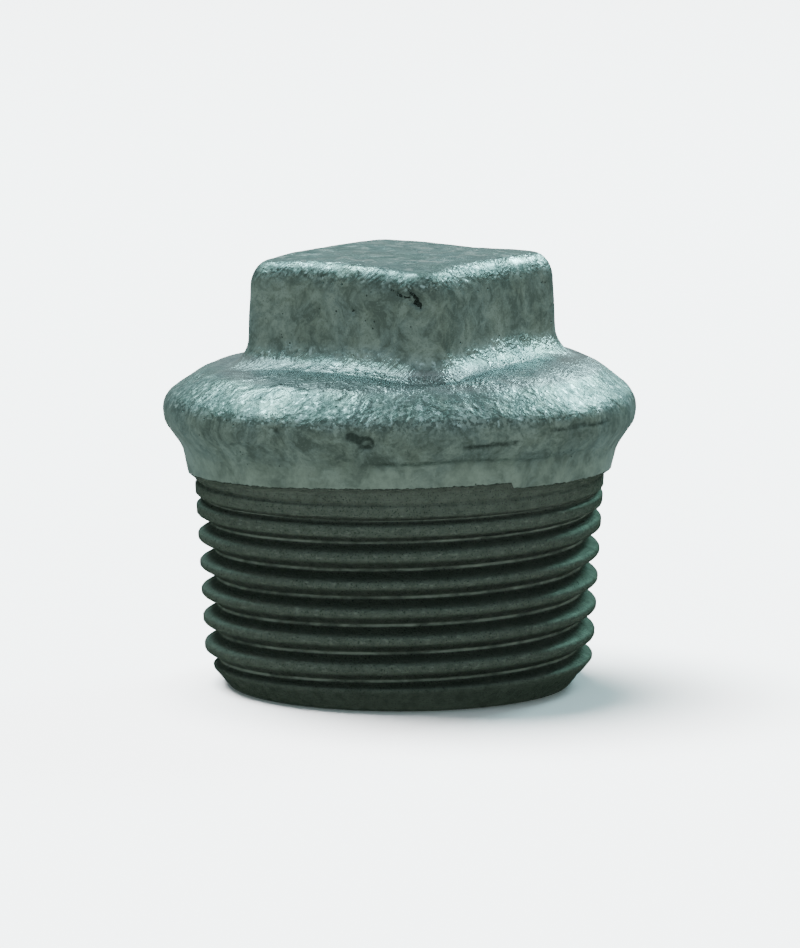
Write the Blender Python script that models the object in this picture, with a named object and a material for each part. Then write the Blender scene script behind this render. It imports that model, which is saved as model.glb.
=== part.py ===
"""A beaded plug with a square head, for a 1 inch taper pipe thread.

It is one casting in malleable iron, galvanised all over, with the thread cut afterwards. Lengths
are in metres. The origin is the centre of the thread's end face, +Z runs from the thread to the
square head, and +X and +Y are square to the wrench flats.
"""

import math

import bpy

NODE = "plug_body"

# Taper pipe thread R 1: 11 threads to the inch, 55 degree form, taper 1 in 16 on diameter.
PITCH = 0.0254 / 11
FLANK = math.radians(27.5)
TAPER = 1 / 32
GAUGE_MAJOR_RADIUS = 0.033249 / 2
GAUGE_LENGTH = 0.01039
SHARP_HEIGHT = PITCH / (2 * math.tan(FLANK))
ROOT_DEPTH = SHARP_HEIGHT / 3
PITCH_RADIUS_AT_END = GAUGE_MAJOR_RADIUS - ROOT_DEPTH - GAUGE_LENGTH * TAPER

# The crests stop short of the full form, and the casting under them tapers more than the thread.
CREST_RADIUS_AT_END = 0.01607
CREST_TAPER = 0.056
CREST_HEIGHT_AT_X = 0.001885

# The last threads wash out: past this height the die leaves the work on a parabola.
WASH_OUT_START = 0.010
WASH_OUT_END = 0.0179
WASH_OUT_RATE = 24.7
CREST_ROUNDING_MOST = 0.0010
RIDGE_END = 0.0188

# Thread end.
END_RADIUS = 0.0142
CHAMFER_SLOPE = math.tan(math.radians(41))

# Neck, bead and shoulder, as the corners of the turned outline and their rounding.
NECK_END = (0.01766, 0.01830)
NECK_THROAT = (0.01817, 0.02042)
BEAD = (0.02064, 0.02358)
SHOULDER_EDGE = (0.01556, 0.02700)
NECK_ROUNDING = 0.0030
BEAD_ROUNDING = 0.0021
SHOULDER_ROUNDING = 0.0030

# Square head.
TOTAL_HEIGHT = 0.0360
ACROSS_FLATS = 0.0196
HEAD_DRAFT = math.radians(1.8)
CORNER_ROUNDING = 0.0022
TOP_ROUNDING = 0.0017
FOOT_FILLET = 0.0022
FOOT_HEIGHT = SHOULDER_EDGE[1] - 0.00015
FOOT_START = math.radians(15)
HEAD_SINK = 0.0022

# Hollow inside, open at the thread end.
MOUTH_RADIUS = 0.0121
HOLLOW_SHOULDER = (0.0114, 0.0222)
HEAD_POCKET_FOOT = (0.0061, 0.0246)
HEAD_POCKET_TOP = (0.0058, 0.0315)
HOLLOW_SHOULDER_ROUNDING = 0.0030
POCKET_FOOT_ROUNDING = 0.0015
POCKET_TOP_ROUNDING = 0.0035

# Facets, and how far hidden ends and cutters run on.
TURNED_STEPS = 60
HOLLOW_STEPS = 40
ARC_STEP = math.radians(20)
CORNER_STEPS = 4
CREST_STEPS = 3
WASH_OUT_STEPS = 6
RIDGE_SINK = 0.0003
RIDGE_WIDTH_MOST = 0.97 * PITCH
OVERRUN = 0.0010
CUTTER_RADIUS = 0.0180
MERGE = 0.00001
SHARP_EDGE = math.radians(35)

ZINC_COLOUR = (0.27, 0.33, 0.30, 1.0)
ZINC_ROUGHNESS = 0.55
ZINC_METALLIC = 0.6


def clear_scene():
    for obj in list(bpy.data.objects):
        bpy.data.objects.remove(obj, do_unlink=True)


def zinc():
    material = bpy.data.materials.new("galvanised_iron")
    material.use_nodes = True
    shader = material.node_tree.nodes["Principled BSDF"]
    shader.inputs["Base Color"].default_value = ZINC_COLOUR
    shader.inputs["Roughness"].default_value = ZINC_ROUGHNESS
    shader.inputs["Metallic"].default_value = ZINC_METALLIC
    return material


def object_from(name, vertices, edges, faces):
    mesh = bpy.data.meshes.new(name)
    mesh.from_pydata(vertices, edges, faces)
    mesh.validate()
    obj = bpy.data.objects.new(name, mesh)
    bpy.context.scene.collection.objects.link(obj)
    return obj


def helper(obj):
    """Marks a shape that only takes part in a Boolean."""
    obj.hide_render = True
    obj.display_type = "WIRE"
    return obj


def washed(z):
    """How far the wash-out lifts the root of the thread at a height."""
    return WASH_OUT_RATE * max(0.0, z - WASH_OUT_START) ** 2


def root_radius(z):
    return PITCH_RADIUS_AT_END - ROOT_DEPTH + TAPER * z + washed(z)


def crest_radius(z):
    return CREST_RADIUS_AT_END + CREST_TAPER * z


def rounded_corner(before, corner, after, radius):
    """Points of the arc that rounds one corner of an outline, from the side before to the one after."""
    start = math.atan2(before[1] - corner[1], before[0] - corner[0])
    turn = math.atan2(after[1] - corner[1], after[0] - corner[0]) - start
    turn = math.remainder(turn, math.tau)
    to_centre = start + turn / 2
    distance = radius / abs(math.sin(turn / 2))
    centre = (
        corner[0] + distance * math.cos(to_centre),
        corner[1] + distance * math.sin(to_centre),
    )
    sweep = math.copysign(math.pi, turn) - turn
    first = start - math.copysign(math.pi / 2, turn)
    steps = max(1, math.ceil(abs(sweep) / ARC_STEP))
    angles = [first - sweep * i / steps for i in range(steps + 1)]
    return [(centre[0] + radius * math.cos(a), centre[1] + radius * math.sin(a)) for a in angles]


def outline_through(corners):
    """An outline through (point, rounding) corners, each rounded with an arc where it has a rounding."""
    outline = []
    for i, (point, radius) in enumerate(corners):
        if radius:
            outline += rounded_corner(corners[i - 1][0], point, corners[i + 1][0], radius)
        else:
            outline.append(point)
    return outline


def turned(name, outline, steps):
    """A solid of revolution from an outline of (radius, height), from the top of the axis to its foot."""
    vertices = [(r, 0.0, z) for r, z in outline]
    edges = [(i, i + 1) for i in range(len(vertices) - 1)]
    obj = object_from(name, vertices, edges, [])
    screw = obj.modifiers.new("turn", "SCREW")
    screw.steps = steps
    screw.render_steps = steps
    screw.use_merge_vertices = True
    screw.merge_threshold = MERGE
    return obj


def shank_and_bead():
    """The turned casting: root cone, wash-out, neck, bead and shoulder, solid to the axis."""
    shoulder_z = SHOULDER_EDGE[1]
    outline = outline_through(
        [
            ((0.0, shoulder_z), 0),
            (SHOULDER_EDGE, SHOULDER_ROUNDING),
            (BEAD, BEAD_ROUNDING),
            (NECK_THROAT, NECK_ROUNDING),
            (NECK_END, 0),
        ]
    )
    for i in range(WASH_OUT_STEPS + 1):
        z = WASH_OUT_END + (WASH_OUT_START - WASH_OUT_END) * i / WASH_OUT_STEPS
        outline.append((root_radius(z), z))
    outline.append((root_radius(-OVERRUN), -OVERRUN))
    outline.append((0.0, -OVERRUN))
    return turned(NODE, outline, TURNED_STEPS)


def ridge_section(z):
    """The thread's cross-section at a height, as (radius, height) from the lower foot to the upper."""
    crest = crest_radius(z)
    sharpness = 1 / math.sin(FLANK) - 1
    full_apex = PITCH_RADIUS_AT_END + TAPER * z + SHARP_HEIGHT / 2 + washed(z)
    rounding = min((full_apex - crest) / sharpness, CREST_ROUNDING_MOST)
    apex = crest + rounding * sharpness
    foot = min(root_radius(z), crest - rounding) - RIDGE_SINK
    half_width = min((apex - foot) * math.tan(FLANK), RIDGE_WIDTH_MOST / 2)
    points = [(foot, z - half_width)]
    reach = math.pi / 2 - FLANK
    for i in range(CREST_STEPS + 1):
        angle = reach * (2 * i / CREST_STEPS - 1)
        radius = crest - rounding + rounding * math.cos(angle)
        points.append((radius, z + rounding * math.sin(angle)))
    points.append((foot, z + half_width))
    return points


def thread_ridge():
    """The ridge of the thread, a closed right-hand sweep from under the end face to inside the neck."""
    first = math.floor(-(CREST_HEIGHT_AT_X + PITCH) / PITCH * TURNED_STEPS)
    last = math.ceil((RIDGE_END - CREST_HEIGHT_AT_X) / PITCH * TURNED_STEPS)
    vertices = []
    for station in range(first, last + 1):
        turn = station / TURNED_STEPS
        angle = math.tau * turn
        for radius, z in ridge_section(CREST_HEIGHT_AT_X + PITCH * turn):
            vertices.append((radius * math.cos(angle), radius * math.sin(angle), z))
    count = CREST_STEPS + 3
    faces = [tuple(range(count))]
    for station in range(last - first):
        for i in range(count):
            j = (i + 1) % count
            low = station * count
            high = low + count
            faces.append((low + i, high + i, high + j, low + j))
    end = (last - first) * count
    faces.append(tuple(reversed(range(end, end + count))))
    return helper(object_from("thread_ridge", vertices, [], faces))


def rounded_square(half_side, rounding, z):
    """The points of one level of the head, anticlockwise, with its four corners as arcs."""
    points = []
    for corner in range(4):
        quarter = corner * math.pi / 2
        middle = quarter + math.pi / 4
        centre = (half_side - rounding) * math.sqrt(2)
        for i in range(CORNER_STEPS + 1):
            angle = quarter + math.pi / 2 * i / CORNER_STEPS
            x = centre * math.cos(middle) + rounding * math.cos(angle)
            y = centre * math.sin(middle) + rounding * math.sin(angle)
            points.append((x, y, z))
    return points


def head_levels():
    """(outward offset, height) of each level of the head, from inside the shoulder to its top face."""
    foot_steps = math.ceil((math.pi / 2 - FOOT_START) / ARC_STEP)
    levels = []
    for i in range(foot_steps + 1):
        angle = FOOT_START + (math.pi / 2 - FOOT_START) * i / foot_steps
        offset = FOOT_FILLET * (1 - math.sin(angle))
        levels.append((offset, FOOT_HEIGHT + FOOT_FILLET * (1 - math.cos(angle))))
    levels.insert(0, (levels[0][0], levels[0][1] - HEAD_SINK))
    top_steps = math.ceil(math.pi / 2 / ARC_STEP)
    for i in range(top_steps + 1):
        angle = math.pi / 2 * i / top_steps
        height = TOTAL_HEIGHT - TOP_ROUNDING * (1 - math.sin(angle))
        levels.append((TOP_ROUNDING * (math.cos(angle) - 1), height))
    return levels


def square_head():
    """The wrench square with its drafted flats, rounded edges and foot fillet."""
    vertices = []
    levels = head_levels()
    for offset, z in levels:
        draft = (z - FOOT_HEIGHT) * math.tan(HEAD_DRAFT)
        vertices += rounded_square(ACROSS_FLATS / 2 - draft + offset, CORNER_ROUNDING + offset, z)
    count = 4 * (CORNER_STEPS + 1)
    faces = [tuple(reversed(range(count)))]
    for level in range(len(levels) - 1):
        for i in range(count):
            j = (i + 1) % count
            low = level * count
            high = low + count
            faces.append((low + i, low + j, high + j, high + i))
    top = (len(levels) - 1) * count
    faces.append(tuple(range(top, top + count)))
    return helper(object_from("square_head", vertices, [], faces))


def end_cutter():
    """What is turned off the thread end: all below the end face and outside the lead chamfer."""
    chamfer_top = (CUTTER_RADIUS - END_RADIUS) / CHAMFER_SLOPE
    below = -2 * PITCH
    outline = [
        (0.0, 0.0),
        (END_RADIUS, 0.0),
        (CUTTER_RADIUS, chamfer_top),
        (CUTTER_RADIUS, below),
        (0.0, below),
    ]
    return helper(turned("end_cutter", outline, TURNED_STEPS))


def hollow():
    """The core's shape: a drafted bore under the bead, and a narrower pocket up into the head."""
    pocket_z = HEAD_POCKET_TOP[1]
    outline = outline_through(
        [
            ((0.0, pocket_z), 0),
            (HEAD_POCKET_TOP, POCKET_TOP_ROUNDING),
            (HEAD_POCKET_FOOT, POCKET_FOOT_ROUNDING),
            (HOLLOW_SHOULDER, HOLLOW_SHOULDER_ROUNDING),
            ((MOUTH_RADIUS, -OVERRUN), 0),
            ((0.0, -OVERRUN), 0),
        ]
    )
    return helper(turned("hollow", outline, HOLLOW_STEPS))


def combine(obj, other, operation):
    boolean = obj.modifiers.new(other.name, "BOOLEAN")
    boolean.operation = operation
    boolean.solver = "EXACT"
    boolean.object = other


def settle(obj):
    """Gives the object its evaluated mesh in place of its modifiers, shaded smooth between sharp edges."""
    bpy.context.view_layer.update()
    graph = bpy.context.evaluated_depsgraph_get()
    mesh = bpy.data.meshes.new_from_object(obj.evaluated_get(graph))
    obj.modifiers.clear()
    obj.data = mesh
    mesh.name = obj.name
    mesh.shade_smooth()
    mesh.set_sharp_from_angle(angle=SHARP_EDGE)


def main():
    clear_scene()
    body = shank_and_bead()
    added = [thread_ridge(), square_head()]
    removed = [end_cutter(), hollow()]
    for other in added:
        combine(body, other, "UNION")
    for other in removed:
        combine(body, other, "DIFFERENCE")
    settle(body)
    for other in added + removed:
        bpy.data.objects.remove(other, do_unlink=True)
    body.data.materials.clear()
    body.data.materials.append(zinc())


main()
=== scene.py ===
"""The looks of the beaded plug: a galvanised casting with its cut thread, on a pale studio floor.

Lengths are in metres, in the CAD model's frame: the origin is the centre of the thread's end face,
+Z runs from the thread to the square head, and +X and +Y are square to the wrench flats.
"""

import math
from types import SimpleNamespace

import bmesh
import bpy
import numpy as np
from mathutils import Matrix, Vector, noise


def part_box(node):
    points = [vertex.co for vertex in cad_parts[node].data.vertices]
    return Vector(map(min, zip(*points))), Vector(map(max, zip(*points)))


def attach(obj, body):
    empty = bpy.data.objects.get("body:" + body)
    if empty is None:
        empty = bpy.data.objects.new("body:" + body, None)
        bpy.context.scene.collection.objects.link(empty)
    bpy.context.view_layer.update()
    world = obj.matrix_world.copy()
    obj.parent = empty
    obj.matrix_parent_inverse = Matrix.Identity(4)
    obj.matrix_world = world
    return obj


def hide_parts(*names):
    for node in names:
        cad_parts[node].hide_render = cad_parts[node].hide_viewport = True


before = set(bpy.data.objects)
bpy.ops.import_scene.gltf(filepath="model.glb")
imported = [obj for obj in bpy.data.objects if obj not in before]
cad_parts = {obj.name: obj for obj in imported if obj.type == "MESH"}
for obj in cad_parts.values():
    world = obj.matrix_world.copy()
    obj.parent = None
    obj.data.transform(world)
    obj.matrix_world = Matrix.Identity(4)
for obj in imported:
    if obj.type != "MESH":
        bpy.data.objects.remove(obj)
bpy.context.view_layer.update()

MM = 0.001
NODE = "plug_body"
_, BOX_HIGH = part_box(NODE)
TOTAL_HEIGHT = BOX_HIGH[2]
BEAD_RADIUS = BOX_HIGH[0]

# The camera stands this far round from -Y and this far above the horizon. Lens and sensor are in millimetres.
VIEW_AZIMUTH = math.radians(36.3)
VIEW_ELEVATION = math.radians(8.36)
VIEW_DISTANCE = 0.600
AIM_HEIGHT = 17.53 * MM
AIM_SIDEWAYS = 0.06 * MM
LENS = 273.6
SENSOR = 36.0
FRONT = VIEW_AZIMUTH - math.pi / 2
TOWARDS_CAMERA = Vector((math.sin(VIEW_AZIMUTH), -math.cos(VIEW_AZIMUTH), 0.0))
SIDEWAYS = Vector((math.cos(VIEW_AZIMUTH), math.sin(VIEW_AZIMUTH), 0.0))

# Taper pipe thread R 1, after the CAD model, with rounder crests and a softer wash-out.
# Tapers are a radius's growth per height, and rates are per metre.
PITCH = 25.4 * MM / 11
FLANK = math.radians(27.5)
TAPER = 1 / 32
ROOT_RADIUS_AT_END = 14.86 * MM
ROOT_ROUNDING = 0.30 * MM
CREST_RADIUS_AT_END = 16.07 * MM
CREST_TAPER = 0.056
CREST_HEIGHT_AT_X = 1.885 * MM
CREST_SOFTNESS = 0.34 * MM
LEAST_DEPTH = 0.2 * MM
WASH_OUT_START = 10 * MM
WASH_OUT_RATE = 24.7
CROWDING_START = 14.1 * MM
CROWDING_RATE = 115.0
END_RADIUS = 14.2 * MM
CHAMFER_SLOPE = math.tan(math.radians(41))
CHAMFER_SOFTNESS = 0.25 * MM
END_EDGE = 0.16 * MM
SPIRAL_LOW = 0.22 * MM
SPIRAL_HIGH = 16.6 * MM

# The edge of the zinc, where the die stopped: it climbs once round and steps back down.
CUT_STEP_ANGLE = FRONT + math.radians(31)
CUT_HEIGHT = 18.5 * MM
CUT_CLIMB = 0.52 * MM
CUT_DIP = 1.3 * MM
LIP_DROP = 0.45 * MM

# Turned outline from the shoulder to the neck, as corners with their rounding.
SHOULDER_MIDDLE = (12.0 * MM, 27.22 * MM)
SHOULDER_END = (16.0 * MM, 26.46 * MM)
SHOULDER_CORNER = ((16.70 * MM, 26.16 * MM), 3.0 * MM)
BEAD_TOP = ((BEAD_RADIUS + 0.12 * MM, 24.05 * MM), 2.0 * MM)
BEAD_FOOT = ((BEAD_RADIUS - 0.12 * MM, 22.30 * MM), 1.6 * MM)
NECK_THROAT = ((18.05 * MM, 20.20 * MM), 2.5 * MM)
NECK_END = (17.40 * MM, 17.00 * MM)
NECK_ROWS_START = 20.3 * MM
SHOULDER_LIFT = 0.58 * MM
SHOULDER_LIFT_ANGLE = FRONT + math.radians(90)

# Square head. It stands a little off the thread's axis.
HEAD_SHIFT = 0.25 * MM
HEAD_HALF_FOOT = 9.86 * MM
HEAD_HALF_TOP = 9.66 * MM
CORNER_ROUNDING = 2.5 * MM
TOP_ROUNDING = 1.8 * MM
TOP_FALL = 2.3 * MM
CORNER_DROOP = 0.35 * MM
DROOP_ANGLE = FRONT - math.radians(22)
FOOT_FILLET = 2.7 * MM

# Hollow inside, open at the thread end. Between these heights, all within the pocket's reach is its wall.
MOUTH_RADIUS = 12.1 * MM
MOUTH_EDGE = 0.35 * MM
HOLLOW_SHOULDER = ((11.4 * MM, 22.2 * MM), 3.0 * MM)
POCKET_FOOT = ((6.1 * MM, 24.6 * MM), 1.5 * MM)
POCKET_TOP = ((5.8 * MM, 31.5 * MM), 3.5 * MM)
POCKET_REACH = 7.6 * MM
POCKET_LOW = HOLLOW_SHOULDER[0][1] + 1 * MM
POCKET_HIGH = POCKET_TOP[0][1] + 0.5 * MM

# How crinkled the zinc is, from 0 to 1, by where it is and by how far up it faces (its normal's Z).
CRINKLED_ANYWHERE = 0.30
CRINKLED_ON_SLOPES = 0.70
CRINKLED_ON_TOP = 0.60
LESS_ON_LEVEL = 0.75
LESS_ON_NECK = 0.15
SLOPE_BAND = (0.10, 0.50)
LEVEL_BAND = (0.93, 0.99)
TOP_CRINKLE_BAND = (TOTAL_HEIGHT - 0.5 * MM, TOTAL_HEIGHT - 0.1 * MM)
NECK_CRINKLE_BAND = (21 * MM, 24 * MM)

# Relief of the zinc, in layers of height, size of the lumps and seed.
SWELLS = ((0.110 * MM, 6.5 * MM, 1), (0.075 * MM, 2.6 * MM, 2))
WRINKLES = ((0.030 * MM, 1.3 * MM, 3), (0.008 * MM, 0.80 * MM, 4))
ZINC_EDGE_BAND = (-0.10 * MM, 0.30 * MM)

# Relief of the cut metal. The nicks are where the lumps and the level in the thread are both high.
TEARING_HEIGHT = 0.008 * MM
TEARING_SIZE = 0.9 * MM
TEARING_STRETCH = (1.0, 1.0, 2.5)
NICK_DEPTH = 0.10 * MM
NICK_SIZE = 0.9 * MM
NICK_LUMP_BAND = (0.48, 0.75)
NICK_LEVEL_BAND = (0.6, 0.95)

# How much of a dip's width is its level bottom, its black painted shade in a crack and its dark painted shade
# in a pit. The gap to the nearest dip is kept up to the widest.
BOTTOM_SHARE = 0.25
CRACKED_SHARE = 0.20
PIT_SHADE_SHARE = 0.45
WIDEST_GAP = 1.0 * MM
SCAR_LUMP_SIZE = 0.5 * MM

# Bands of height, from low to high, over which the zinc's finish changes.
BEAD_DULL_BAND = (25.4 * MM, 26.4 * MM)
BEAD_GRIME_AND_SHADE_BAND = (25.6 * MM, 26.5 * MM)
HEAD_BAND = (26.0 * MM, 27.2 * MM)
TROUGH_FOOT_BAND = (26.3 * MM, 26.8 * MM)
TROUGH_HEAD_BAND = (27.6 * MM, 28.2 * MM)
TOP_EDGE_BAND = (33.2 * MM, 34.0 * MM)
TOP_FACE_BAND = (TOTAL_HEIGHT - 0.7 * MM, TOTAL_HEIGHT - 0.3 * MM)

# The same over the edge of the zinc, in millimetres, as the material reads it.
# The first band is where the neck's painted light from below fades out.
NECK_PAINTED_LIGHT_BAND = (0.8, 2.8)
THREAD_TOP_BAND = (-2.4, -1.6)
# Over this band the painted highlights of the root lines fade in.
ROOT_LINES_BAND = (-17.0, -16.2)
# Over this band the end's painted shade fades out.
END_SHADE_BAND = (-17.4, -16.2)

# Sizes of the patterns on the zinc and the cut metal. A swirl is the size of its noise and how far it moves.
SWIRL = (5.0 * MM, 3.0 * MM)
CLOUD_SIZE = 4.5 * MM
WISP_SWIRL = (1.6 * MM, 2.2 * MM)
WISP_SIZE = 1.1 * MM
TINT_SIZE = 3.2 * MM
SPECK_SIZE = 0.18 * MM
GRIME_AND_SHADE_SIZE = 0.40 * MM
PATCH_SIZE = 2.0 * MM
GRAIN_SWIRL = (2.0 * MM, 0.6 * MM)
GRAIN_SIZE = 0.50 * MM
STROKE_SIZE = 0.34 * MM
STROKE_LEAN = 1.0
STROKE_STRETCH = 0.25
PIT_SPACING = 0.85 * MM
PIT_FIELD_SIZE = 2.2 * MM
SMALL_FLAKE_SWIRL = (1.2 * MM, 0.6 * MM)
SMALL_FLAKE_SIZE = 0.60 * MM
WIDE_FLAKE_SWIRL = (2.0 * MM, 1.0 * MM)
WIDE_FLAKE_SIZE = 1.3 * MM
CUT_MOTTLE_SIZE = 1.1 * MM
TURNED_MARK_SIZE = 0.13 * MM
TORN_MARK_SIZE = 0.20 * MM
CUT_SPECK_SIZE = 0.14 * MM
CREST_DASH_SIZE = 0.50 * MM
ROOT_DASH_SIZE = 0.9 * MM
JAG_SIZE = 0.60 * MM
RAGGED_SIZE = 0.30 * MM
PIT_SHADE_PATCH_SIZE = 0.5 * MM
BUMP_HEIGHT = 0.24 * MM
CUT_METALLIC = 0.93

# Colours, linear. The edge tints are those of metal seen at a grazing angle.
ZINC_DARK = (0.132, 0.164, 0.144)
ZINC_OLIVE = (0.226, 0.270, 0.228)
ZINC_TEAL = (0.212, 0.266, 0.250)
ZINC_LIGHT = (0.306, 0.366, 0.326)
# Grime, which also paints shade over the highlights of the bead and the top edge.
ZINC_GRIME_AND_SHADE = (0.085, 0.108, 0.094)
# Pale neck colour, painted light from below.
NECK_PAINTED_LIGHT = (0.365, 0.430, 0.370)
# Flake colour, a painted glint.
ZINC_FLAKE_GLINT = (0.460, 0.580, 0.550)
# Trough colour, a painted grey-blue sheen.
ZINC_TROUGH_PAINTED_SHEEN = (0.330, 0.300, 0.300)
ZINC_EDGE_DULL = (0.63, 0.77, 0.81)
ZINC_EDGE_BRIGHT = (1.0, 1.0, 0.98)
# Edge tint of the trough, a painted grey-blue sheen.
TROUGH_EDGE_PAINTED_SHEEN = (0.90, 0.80, 0.84)
# Near black: painted shade in pits, cracks and the crevice under the zinc's edge, and dark specks in the cut
# metal.
BLACK_SHADE_AND_SPECKS = (0.020, 0.026, 0.022)
# Dark painted shade in the bead's pits and creases.
PIT_SHADE_COLOUR = (0.048, 0.064, 0.056)
# Dark cut metal, for mottling and tool marks, and as painted shade on the thread's flanks.
CUT_DARK_AND_SHADE = (0.088, 0.103, 0.086)
# Painted shade near the floor, at the thread's end.
END_PAINTED_SHADE = (0.050, 0.062, 0.050)
CUT_COLOUR = (0.122, 0.144, 0.118)
THREAD_COLOUR = (0.086, 0.106, 0.086)
# Pale cut metal: wear and painted glints on the crests, and painted highlights on the root lines.
CUT_WEAR_AND_GLINT = (0.230, 0.265, 0.222)
CUT_EDGE = (0.22, 0.25, 0.23)

# Lights. A place is how far sideways, towards the camera and up it is.
SOFTBOXES = (
    ("softbox_left", (-0.33, -0.36, 0.70), 4.5),
    ("softbox_right", (0.42, -0.53, 0.51), 5.2),
)
SOFTBOX_SIZE = 0.26
SOFTBOX_COLOUR = (0.57, 1.0, 1.05)
SUN_PLACE = (-0.45, -0.40, 1.50)
SUN_STRENGTH = 20.7
SUN_ANGLE = math.radians(44)
HORIZON_COLOUR = (0.84, 1.0, 0.95)
SKY_COLOUR = (0.98, 1.25, 1.36)
SEEN_STRENGTH = 7.0
SURROUND_STRENGTH = 0.55
FLOOR_RADIUS = 3.0
FLOOR_COLOUR = (0.82, 0.82, 0.82)
FLOOR_ROUGHNESS = 0.8

# Mesh fineness: points round a ring, and rings along each stretch.
COLUMNS = 360
HOLLOW_COLUMNS = 120
TOP_FACE_RINGS = 24
TOP_FACE_MIDDLE = 0.06
TOP_EDGE_RINGS = 10
FLAT_RINGS = 26
FILLET_RINGS = 13
SHOULDER_RINGS = 14
NECK_RINGS = 9
WASH_OUT_RINGS = 12
ROWS_PER_PITCH = 14
ARC_STEP = math.radians(6)
OUTLINE_SPACING = 0.26 * MM
HOLLOW_SPACING = 0.60 * MM
WELD = 0.0002 * MM


def smooth_min(a, b, softness):
    """The lower of two heights, with the corner where they cross rounded off."""
    overlap = np.maximum(softness - np.abs(a - b), 0.0) / softness
    return np.minimum(a, b) - overlap * overlap * softness / 4


def turns(angle, start):
    """How far round from a start angle, from 0 to 1."""
    return np.mod((angle - start) / math.tau, 1.0)


def ring_angles(count):
    return np.arange(count) * math.tau / count


def cut_edge(angle):
    """Height of the zinc's lower edge at an angle."""
    t = turns(angle, CUT_STEP_ANGLE)
    return CUT_HEIGHT + CUT_CLIMB * t - CUT_DIP * np.sin(math.pi * t) ** 2


def root_radius(z):
    wash = WASH_OUT_RATE * np.maximum(0.0, z - WASH_OUT_START) ** 2
    return ROOT_RADIUS_AT_END + TAPER * z + wash


def crest_radius(z):
    return CREST_RADIUS_AT_END + CREST_TAPER * z


def from_crest(angle, z):
    """Axial distance from the nearest crest of the right-hand thread, whose last turns crowd."""
    crowded = z + CROWDING_RATE * np.maximum(z - CROWDING_START, 0.0) ** 2
    turn = (crowded - CREST_HEIGHT_AT_X) / PITCH - angle / math.tau
    return (turn - np.round(turn)) * PITCH


def thread_radius(angle, z):
    """The cut thread: the turned blank and its lead chamfer, less a rounded V groove on a helix."""
    from_root = PITCH / 2 - np.abs(from_crest(angle, z))
    groove = root_radius(z) - ROOT_ROUNDING + np.hypot(from_root / math.tan(FLANK), ROOT_ROUNDING)
    chamfer = END_RADIUS + CHAMFER_SLOPE * z
    blank = smooth_min(crest_radius(z), chamfer, CHAMFER_SOFTNESS)
    return smooth_min(blank, groove, CREST_SOFTNESS)


def rounded_square(angle, half_side, rounding):
    """How far out a square with rounded corners reaches at an angle from its centre."""
    quarter = math.pi / 2
    folded = np.abs(np.mod(angle + quarter / 2, quarter) - quarter / 2)
    centre = half_side - rounding
    along = centre * (np.cos(folded) + np.sin(folded))
    inside = np.maximum(along**2 - 2 * centre**2 + rounding**2, 0.0)
    on_corner = along + np.sqrt(inside)
    on_flat = half_side / np.cos(folded)
    return np.where(half_side * np.tan(folded) > centre, on_corner, on_flat)


def corner_droop(angle):
    """How far the head's top edge falls towards its two corners on one side."""
    reach = rounded_square(angle, HEAD_HALF_TOP, CORNER_ROUNDING) / HEAD_HALF_TOP - 1
    side = np.clip(np.cos(angle - DROOP_ANGLE) / 0.7, 0.0, 1.0)
    return CORNER_DROOP * side * (reach / reach.max()) ** 2


def rounded_corner(before, corner, after, radius):
    """Points of the arc that rounds one corner of an outline."""
    start = math.atan2(before[1] - corner[1], before[0] - corner[0])
    turn = math.atan2(after[1] - corner[1], after[0] - corner[0]) - start
    turn = math.remainder(turn, math.tau)
    to_centre = start + turn / 2
    distance = radius / abs(math.sin(turn / 2))
    centre_r = corner[0] + distance * math.cos(to_centre)
    centre_z = corner[1] + distance * math.sin(to_centre)
    sweep = math.copysign(math.pi, turn) - turn
    first = start - math.copysign(math.pi / 2, turn)
    steps = max(1, math.ceil(abs(sweep) / ARC_STEP))
    angles = [first - sweep * i / steps for i in range(steps + 1)]
    return [(centre_r + radius * math.cos(a), centre_z + radius * math.sin(a)) for a in angles]


def outline_through(start, corners, end):
    """An outline of (radius, height) from start to end, through corners given as (point, rounding)."""
    points = [start] + [point for point, _ in corners] + [end]
    outline = [start]
    for i, (point, radius) in enumerate(corners):
        outline += rounded_corner(points[i], point, points[i + 2], radius)
    return np.array(outline + [end])


def evenly(outline, spacing):
    """The same outline with its points an equal distance apart."""
    lengths = np.hypot(*np.diff(outline, axis=0).T)
    along = np.concatenate([[0.0], np.cumsum(lengths)])
    count = math.ceil(along[-1] / spacing)
    wanted = np.linspace(0.0, along[-1], count + 1)
    return np.stack([np.interp(wanted, along, outline[:, i]) for i in range(2)], axis=1)


COLLAR = outline_through(
    SHOULDER_END, [SHOULDER_CORNER, BEAD_TOP, BEAD_FOOT, NECK_THROAT], NECK_END
)


def neck_radius(z):
    lower = COLLAR[COLLAR[:, 1] < BEAD_FOOT[0][1]]
    return np.interp(z, lower[::-1, 1], lower[::-1, 0])


def shoulder_lift(angle):
    """The casting's shoulder stands higher on one side."""
    return SHOULDER_LIFT * (0.5 + 0.5 * np.cos(angle - SHOULDER_LIFT_ANGLE))


def shoulder_height(radius, angle):
    run = (radius - SHOULDER_MIDDLE[0]) / (SHOULDER_END[0] - SHOULDER_MIDDLE[0])
    drop = (SHOULDER_MIDDLE[1] - SHOULDER_END[1]) * np.maximum(run, 0.0) ** 2
    return SHOULDER_MIDDLE[1] - drop + shoulder_lift(angle)


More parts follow.
